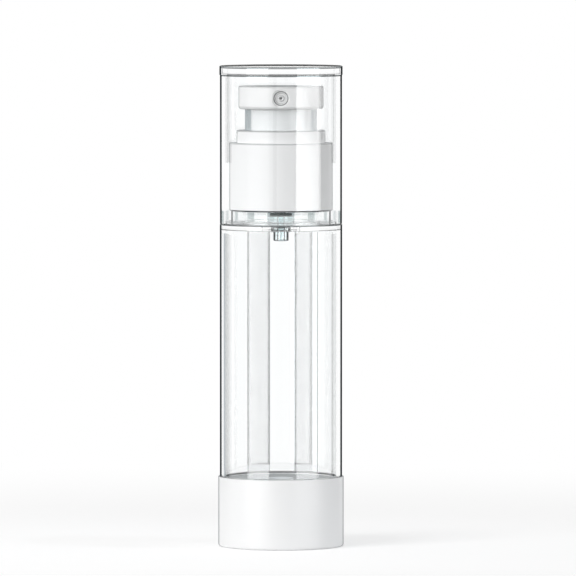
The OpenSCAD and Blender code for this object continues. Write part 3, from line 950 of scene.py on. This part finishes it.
# The upper lip and the well's edge are marked: painted shade lines.
round_piece("follower_piston", "follower", follower_white, [
    (0, under_well), (around_well_r, under_well, 0.3),
    (around_well_r, under_top, 0.3), (inner_r, under_top, 0.5),
    (inner_r, piston_low, 0.2), (lip_r, piston_low, 0.15),
    (lip_r, piston_low + lip_h, 0.1), (body_r, piston_low + 2 * lip_h, 0.3),
    (body_r, piston_high - 2 * lip_h, 0.3), (lip_r, piston_high - lip_h, 0.1),
    (lip_r, piston_high, 0.15, 0.7), (well_r, piston_high, 0.4, 0.3),
    (well_r, well_z, 0.3), (0, well_z),
])

# %% [markdown]
# The pump's engine hangs in the neck, where the collar hides it. Through the clear deck it
# shows from below, so it gets the same care. The housing is the metering
# cylinder with its flange; two crossed slots under its floor let product pass the disc.

# %% Pump housing
housing_low, housing_high, flange_r = extent("pump_housing")
cylinder_r, meter_r, inlet_r, chamber_floor = 4.6, 3.5, 0.9, housing_low + 1.0
pilot_r, pilot_bore_r, flange_z = 9.65, 8.65, high("neck_gasket")
flange_top, pilot_z = flange_z + 1.0, flange_z - 3
slot_l, slot_w, slot_h, slot_low = 2 * disc_r - 0.6, 0.8, 1.4, housing_low - 1
housing_section = [
    (inlet_r, housing_low, 0.1), (cylinder_r, housing_low, 0.3),
    (cylinder_r, flange_z, 0.3), (pilot_bore_r, flange_z, 0.2),
    (pilot_bore_r, pilot_z, 0.2), (pilot_r, pilot_z, 0.3),
    (pilot_r, flange_z, 0.1), (flange_r, flange_z, 0.15),
    (flange_r, flange_top, 0.15), (cylinder_r, flange_top, 0.2),
    (cylinder_r, housing_high, 0.2), (meter_r, housing_high, 0.15),
    (meter_r, chamber_floor, 0.3), (inlet_r, chamber_floor, 0.1),
]
housing = turned("pump_housing_body", housing_section, white_pump)
slot = bar("slot", slot_l, slot_w, slot_low, slot_h)
dress(cut_by(housing, repeated("inlet_slots", slot, 2, 90, white_pump)), "pump_housing")

# %% [markdown]
# The closure ring snaps under the neck's bead and clamps the flange; its chimney guides the
# head's sleeve. The chaplet closes the cylinder, guides the stem and holds the spring's foot.

# %% Closure ring and housing cap
closure_low, closure_top, closure_r = extent("closure_ring")
closure_bore_r, chimney_r = closure_r - 1.45, mouth_r + 1.1
clamp_r, clamp_z = 8.95, flange_top + 1.2
groove_r, groove_slope = closure_bore_r + 0.3, 0.1
round_piece("closure_ring", "closure", natural_pump, [
    (closure_bore_r, closure_low, 0.1), (closure_r, closure_low, 0.15),
    (closure_r, clamp_z, 0.3), (chimney_r, clamp_z, 0.15),
    (chimney_r, closure_top, 0.15), (mouth_r, closure_top, 0.15),
    (mouth_r, clamp_z), (clamp_r, clamp_z, 0.1), (clamp_r, flange_top, 0.1),
    (closure_bore_r, flange_top, 0.1), (closure_bore_r, neck_bead_high + groove_slope),
    (groove_r, neck_bead_high - groove_slope), (groove_r, neck_bead_low + groove_slope),
    (closure_bore_r, neck_bead_low - groove_slope),
])
press = next(joint for joint in frame["joints"] if joint["name"] == "press")
foot_z = press["deforming_nodes"][0]["fixed_end_z_m"]
_, guide_top, guide_r = extent("housing_cap")
guide_floor, guide_bore_r, chaplet_bore_r = foot_z / MM, guide_r - 0.9, cylinder_r + FIT
round_piece("housing_cap", "chaplet", natural_pump, [
    (socket_bore_r, housing_high), (chaplet_bore_r, housing_high),
    (chaplet_bore_r, flange_top, 0.15), (guide_r, flange_top, 0.15),
    (guide_r, guide_top, 0.2), (guide_bore_r, guide_top, 0.15),
    (guide_bore_r, guide_floor, 0.2), (socket_bore_r, guide_floor, 0.1),
])

# %% [markdown]
# Two soft rings seal the pump: a flat gasket under the flange and a small one round the
# tail. Both are silicone, pale and a little grainy.

# %% Seals
ring("gasket", "neck_gasket", neck_bore_r + 0.1, seal_rubber, 0.25, 0.25)
ring("tail_ring", "tail_seal", throat_r + FIT, seal_rubber, 0.15, 0.15)

# %% [markdown]
# The stem is a hollow rod with a snap ring at its head and a stepped foot on which the
# dosing piston sits. The piston wipes the cylinder with a thin lip at each end.

# %% Stem and dosing piston
stem_low, stem_top, _ = extent("pump_stem")
piston_foot, piston_top, dose_r = extent("dosing_piston")
stem_r, foot_r, stem_bore_r, cage_r, cage_z = 2.45, 1.75, 1.0, 1.45, stem_top - 2.9
snap_r, snap_low, snap_high, snap_slope = stem_r + 0.1, stem_top - 2.2, stem_top - 2.0, 0.1
lip_t, waist_r, dose_bore_r = 0.5, dose_r - 0.35, foot_r + FIT
round_piece("pump_stem", "stem", white_pump, [
    (stem_bore_r, stem_low, 0.1), (foot_r, stem_low, 0.15), (foot_r, piston_top, 0.1),
    (stem_r, piston_top, 0.15), (stem_r, snap_low - snap_slope), (snap_r, snap_low),
    (snap_r, snap_high), (stem_r, snap_high + snap_slope), (stem_r, stem_top, 0.2),
    (cage_r, stem_top, 0.1), (cage_r, cage_z, 0.1), (stem_bore_r, cage_z, 0.05),
], FINE_STEPS)
round_piece("dosing_piston", "dosing", natural_pump, [
    (stem_bore_r, piston_foot, 0.1), (dose_r, piston_foot, 0.1), (dose_r, piston_foot + lip_t),
    (waist_r, piston_foot + 2 * lip_t), (waist_r, piston_top - 2 * lip_t),
    (dose_r, piston_top - lip_t), (dose_r, piston_top, 0.1), (dose_bore_r, piston_top, 0.1),
    (dose_bore_r, stem_low), (stem_bore_r, stem_low),
], FINE_STEPS)

# %% [markdown]
# The return spring is stainless wire wound round the stem, and its gloss drifts with the
# marks of its drawing. A coil is a rule, so Geometry Nodes wind it: a spiral gives the
# turns, the height along it is then set so that the end turns lie closed and the turns
# between share the rest, and a round wire is swept along.


# %% Return spring
COIL_STEPS, WIRE_STEPS = 32, 12


def winding_tree():
    sizes = ("Turns", "Coil radius", "Wire radius", "Foot", "Height", "End share", "End height")
    inputs = {**dict.fromkeys(sizes, "Float"), "Finish": "Material"}
    tree, start, end = new_tree("wind_a_spring", inputs)
    sums = Sums(tree)
    given = {label: Wire(sums, start.outputs[label]) for label in inputs}
    coil = add(
        tree, "CurveSpiral", Resolution=COIL_STEPS, Rotations=given["Turns"],
        Start_Radius=given["Coil radius"], End_Radius=given["Coil radius"], Height=0.0,
    )
    share, end_height = given["End share"], given["End height"]
    along = Wire(sums, add(tree, "SplineParameter"))
    first = along.at_most(share)
    last = (along - (1.0 - share)).at_least(0.0)
    closed = (first + last) * end_height / share
    between = (along - first - last) / (1.0 - 2.0 * share)
    rise = closed + between * (given["Height"] - 2.0 * end_height) + given["Foot"]
    lift = sums.node("CombineXYZ", None, {"Z": rise})
    raised = add(tree, "SetPosition", Geometry=coil, Offset=lift)
    wire = add(tree, "CurvePrimitiveCircle", Resolution=WIRE_STEPS, Radius=given["Wire radius"])
    swept = add(tree, "CurveToMesh", Curve=raised, Profile_Curve=wire, Fill_Caps=True)
    ending(tree, end, swept, given["Finish"])
    return tree


steel = 0.12, 0.001, 0.4, {"Metallic": 1.0}
spring_steel = grained(
    "spring_steel", (0.62, 0.63, 0.64, 1), (0.52, 0.53, 0.55, 1), 0.22, (1500.0, 3.0), *steel
)
ball_steel = grained(
    "ball_steel", (0.72, 0.73, 0.74, 1), (0.66, 0.67, 0.69, 1), 0.08, (900.0, 3.0), *steel
)
wire_r, turns, closed_pitch = 0.45, 7.0, 2.1
spring_low, spring_high, coil_r = extent("return_spring")
spring_foot, spring_head = spring_low + wire_r, spring_high - wire_r
values = {
    "Turns": turns, "Coil radius": (coil_r - wire_r) * MM,
    "Wire radius": wire_r * MM, "Foot": spring_foot * MM,
    "Height": (spring_head - spring_foot) * MM, "End share": 1 / turns,
    "End height": closed_pitch * wire_r * MM, "Finish": spring_steel,
}
spring_start = object_of("spring_start", bpy.data.meshes.new("spring_start"))
wound = run_tree(spring_start, winding_tree(), values)
wound.name = "spring"
shaded(wound)
spring = dress(object_of("spring", wound), "return_spring")
stroke = press["range_m"][1]
keep = 1 - (stroke + FIT * MM) / (spring_high * MM - foot_z)
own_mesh(spring)
print(f"the spring keeps {keep:.3f} of its height when pressed")

# %% [markdown]
# The outlet valve is a polished steel ball that rests in the top of the stem.

# %% Outlet ball
ball = bmesh.new()
_, ball_top, ball_r = extent("outlet_ball")
ball_middle = Matrix.Translation((0, 0, (ball_top - ball_r) * MM))
bmesh.ops.create_icosphere(ball, subdivisions=5, radius=ball_r * MM, matrix=ball_middle)
ball_mesh = mesh_of("ball", ball)
ball_mesh.materials.append(ball_steel)
shaded(ball_mesh)
dress(object_of("ball", ball_mesh), "outlet_ball")

# %% [markdown]
# White background from light that only eyes, mirrors and glass can see; the object is lit
# by a plain grey world, a soft box and three narrow beams. The first term says who is
# looking: a ray that a dull surface has already scattered counts as light, not as sight.

# %% World
LIGHT_LEVEL = 0.64
WHITE = (1.0, 1.0, 1.0, 1)


def looking(mix):
    """1 for rays that see the background, 0 for rays that gather light."""
    seen = mix.light_path("Is Camera Ray") + mix.light_path("Is Glossy Ray")
    seen = (seen + mix.light_path("Is Transmission Ray")).at_most(1.0)
    return seen * (1 - mix.light_path("Diffuse Depth").at_most(1.0))


world = bpy.data.worlds.new("studio")
bpy.context.scene.world = world
sky = Recipe(world)
strength = LIGHT_LEVEL + looking(sky) * (1 - LIGHT_LEVEL)
background = sky.node("Background", None, {"Color": WHITE, "Strength": strength})
sky.finish(background, "OutputWorld")
print("world light", LIGHT_LEVEL)

# %% [markdown]
# The floor is a wide pale disc. It keeps the bottle's shadow, and a little glow that only
# the camera, mirrors and glass can see lifts it to the white of the background. Farther
# out it is that white alone, and from below it isn't there at all.

# %% Floor
FLOOR_RADIUS, FLOOR_STEPS, FLOOR_GLOW = 1.2, 128, 0.25
FADE_START, FADE_END = 0.06, 0.3
disc = bmesh.new()
bmesh.ops.create_circle(disc, cap_ends=True, segments=FLOOR_STEPS, radius=FLOOR_RADIUS)
floor_mesh = mesh_of("floor", disc)
floor_mix = recipe("pale_floor")
floor_shade = floor_mix.node("BsdfDiffuse", None, {"Color": (0.9, 0.9, 0.9, 1)})
floor_light = floor_mix.glow(WHITE, looking(floor_mix) * FLOOR_GLOW)
near_floor = floor_mix.node("AddShader", None, {0: floor_shade, 1: floor_light})
from_middle = floor_mix.vectors("LENGTH", {0: floor_mix.place()}, "Value")
far_out = floor_mix.eased(from_middle, FADE_START, FADE_END)
far_floor = floor_mix.glow(WHITE, looking(floor_mix))
upper_side = floor_mix.either(far_out, near_floor, far_floor)
from_below = floor_mix.node("NewGeometry", output="Backfacing")
nothing = floor_mix.node("BsdfTransparent")
floor_mesh.materials.append(floor_mix.finish(floor_mix.either(from_below, upper_side, nothing)))
floor = object_of("floor", floor_mesh)
print("floor radius", FLOOR_RADIUS, "m")

# %% [markdown]
# The lamps and the cards stand round the bottle as they would round a turntable, so the
# camera carries them and every view is lit alike. Angles are counted from the camera's
# side of the bottle, positive to the right; heights are above the table. A soft box lights
# all of it; one beam lifts the pump and two model the base, the right one a little cooler.


# %% Lamps
LAMP_DISTANCE = 0.9
BEAM_SIZE, BEAM_BLEND = 0.08, 0.6


def at_angle(angle, height, distance):
    """A place round the bottle's axis, in metres from metres."""
    a = radians(angle)
    return Vector((distance * sin(a), -distance * cos(a), height))


def carried(made):
    """Keeps the object where it is for the photo's view and lets the camera carry it."""
    bpy.context.view_layer.update()
    made.parent = camera
    made.matrix_parent_inverse = camera.matrix_world.inverted()


def lamp(name, kind, angle, height, target, power, colour, shape):
    """A lamp that points at target; eyes, mirrors and glass don't see it."""
    data = bpy.data.lights.new(name, kind)
    data.energy, data.color = power, colour
    for key, value in shape.items():
        setattr(data, key, value)
    made = object_of(name, data)
    made.location = at_angle(angle, height, LAMP_DISTANCE)
    made.rotation_mode = "QUATERNION"
    made.rotation_quaternion = (target - made.location).to_track_quat("-Z", "Y")
    made.visible_glossy = made.visible_transmission = made.visible_camera = False
    carried(made)


def beam(name, angle, height, target_height, spread, power, colour=(1, 1, 1)):
    """A soft round beam that lights only what stands round the target height."""
    shape = {"shadow_soft_size": BEAM_SIZE, "spot_size": radians(spread), "spot_blend": BEAM_BLEND}
    lamp(name, "SPOT", angle, height, Vector((0, 0, target_height)), power, colour, shape)


box_shape = {"shape": "RECTANGLE", "size": 0.5, "size_y": 0.8}
lamp("key_light", "AREA", -45, 0.35, aim, 3.6, (1, 1, 1), box_shape)
beam("pump_light", -60, 0.2, 0.115, 7.5, 19.0)
beam("base_light_left", -55, 0.3, 0.0, 5.5, 10.0)
beam("base_light_right", 75, 0.3, 0.0, 5.5, 18.0, (0.86, 0.93, 1.0))
print("lamps: a soft box, a beam for the pump and two for the base")

# %% [markdown]
# Cards draw the clear plastic. Bright ones in front lie as a veil on the tube, and where
# it hides a dark card at the back the photo's soft grey bands appear. Dark cards beside the
# background darken the walls, where the plastic bends the view outwards. They are curved
# walls that stand on a circle round the bottle; lamps and the camera look through them,
# mirrors and glass see them. Each call gives a card's two angles, foot, height and tone.


# %% Cards
CARD_DISTANCE, CARD_STEPS = 0.2, 24


def card(name, start, stop, bottom, height, tone):
    """A curved card round the bottle, from angle start to stop and bottom up."""
    angles = [start + (stop - start) * i / CARD_STEPS for i in range(CARD_STEPS + 1)]
    points = [at_angle(a, z, CARD_DISTANCE) for a in angles for z in (bottom, bottom + height)]
    faces = [(2 * i, 2 * i + 2, 2 * i + 3, 2 * i + 1) for i in range(CARD_STEPS)]
    mesh = bpy.data.meshes.new(name)
    mesh.from_pydata(points, [], faces)
    paint = recipe(name)
    mesh.materials.append(paint.finish(paint.glow((*tone, 1), 1.0)))
    made = object_of(name, mesh)
    made.visible_camera = made.visible_diffuse = made.visible_shadow = False
    carried(made)


DARK, BRIGHT = (0.02, 0.02, 0.02), (4.5, 4.5, 4.5)
LEFT, RIGHT, BEHIND = -1, 1, 180
BAND_FOOT, BACK_FOOT, TUBE_TOP, EDGE_TOP, LID_FOOT = -0.09, 0.0071, 0.079, 0.0765, 0.1235
bands = {"left": (LEFT, 22.3, 64.6, 1.74, 6.11), "right": (RIGHT, 28.8, 73.5, 1.99, 5.4)}
for name, (side, start, stop, near, far) in bands.items():
    front, back = (side * start, side * stop), (side * (BEHIND - near), side * (BEHIND - far))
    card(f"band_card_{name}", *front, BAND_FOOT, TUBE_TOP - BAND_FOOT, BRIGHT)
    card(f"lid_band_card_{name}", *front, LID_FOOT, 0.008, BRIGHT)
    card(f"back_card_{name}", *back, BACK_FOOT, TUBE_TOP - BACK_FOOT, (0.12, 0.125, 0.13))
    card(f"back_foot_card_{name}", *back, 0.0, BACK_FOOT, (0.45, 0.46, 0.47))
card("back_card_outer", 174.6, 173.3, 0.0, TUBE_TOP, (0.62, 0.63, 0.64))
card("back_card_line", 173.3, 173.0, 0.0, TUBE_TOP, (0.2, 0.21, 0.22))
card("cap_band_card", 28.8, 78.0, 0.0838, 0.0397, BRIGHT)
glows = (22.3, 64.6, 1.2), (15.0, 22.3, 0.9), (8.0, 15.0, 0.45)
for i, (start, stop, level) in enumerate(glows):
    card(f"cap_glow_card_{i}", -start, -stop, 0.0835, 0.04, (level, level, level))
edges = {"left": (LEFT, 110, 128), "right": (RIGHT, 112, 124)}
for name, (side, start, stop) in edges.items():
    card(f"edge_card_{name}", side * start, side * stop, 0.0, EDGE_TOP, DARK)
    card(f"cap_edge_card_{name}", side * start, side * stop, 0.0975, 0.0255, DARK)
    card(f"neck_ring_card_{name}", side * 143, side * 161, 0.0795, 0.0035, (0.4, 0.46, 0.46))
    card(f"lid_card_{name}", side * 113, side * 116, LID_FOOT, 0.004, DARK)
card("edge_card_soft", -128, -141, 0.0, EDGE_TOP, (0.42, 0.46, 0.48))
card("edge_line_right", 163.0, 164.5, 0.0, EDGE_TOP, (0.4, 0.4, 0.4))
card("lid_lath", 130, 230, 0.1314, 0.003, DARK)
card("neck_card", -75, 75, 0.0825, 0.0013, DARK)
print(len(camera.children), "lamps and cards ride on the camera")

# %% [markdown]
# Clear pieces in front of clear pieces need many bounces before a ray gives up, or the
# plastic fills with black specks.

# %% Bounces
cycles = bpy.context.scene.cycles
cycles.max_bounces, cycles.glossy_bounces = 24, 12
cycles.transmission_bounces, cycles.transparent_max_bounces = 20, 20
bpy.context.scene.view_settings.view_transform = "Standard"
print("a ray may bounce", cycles.max_bounces, "times")
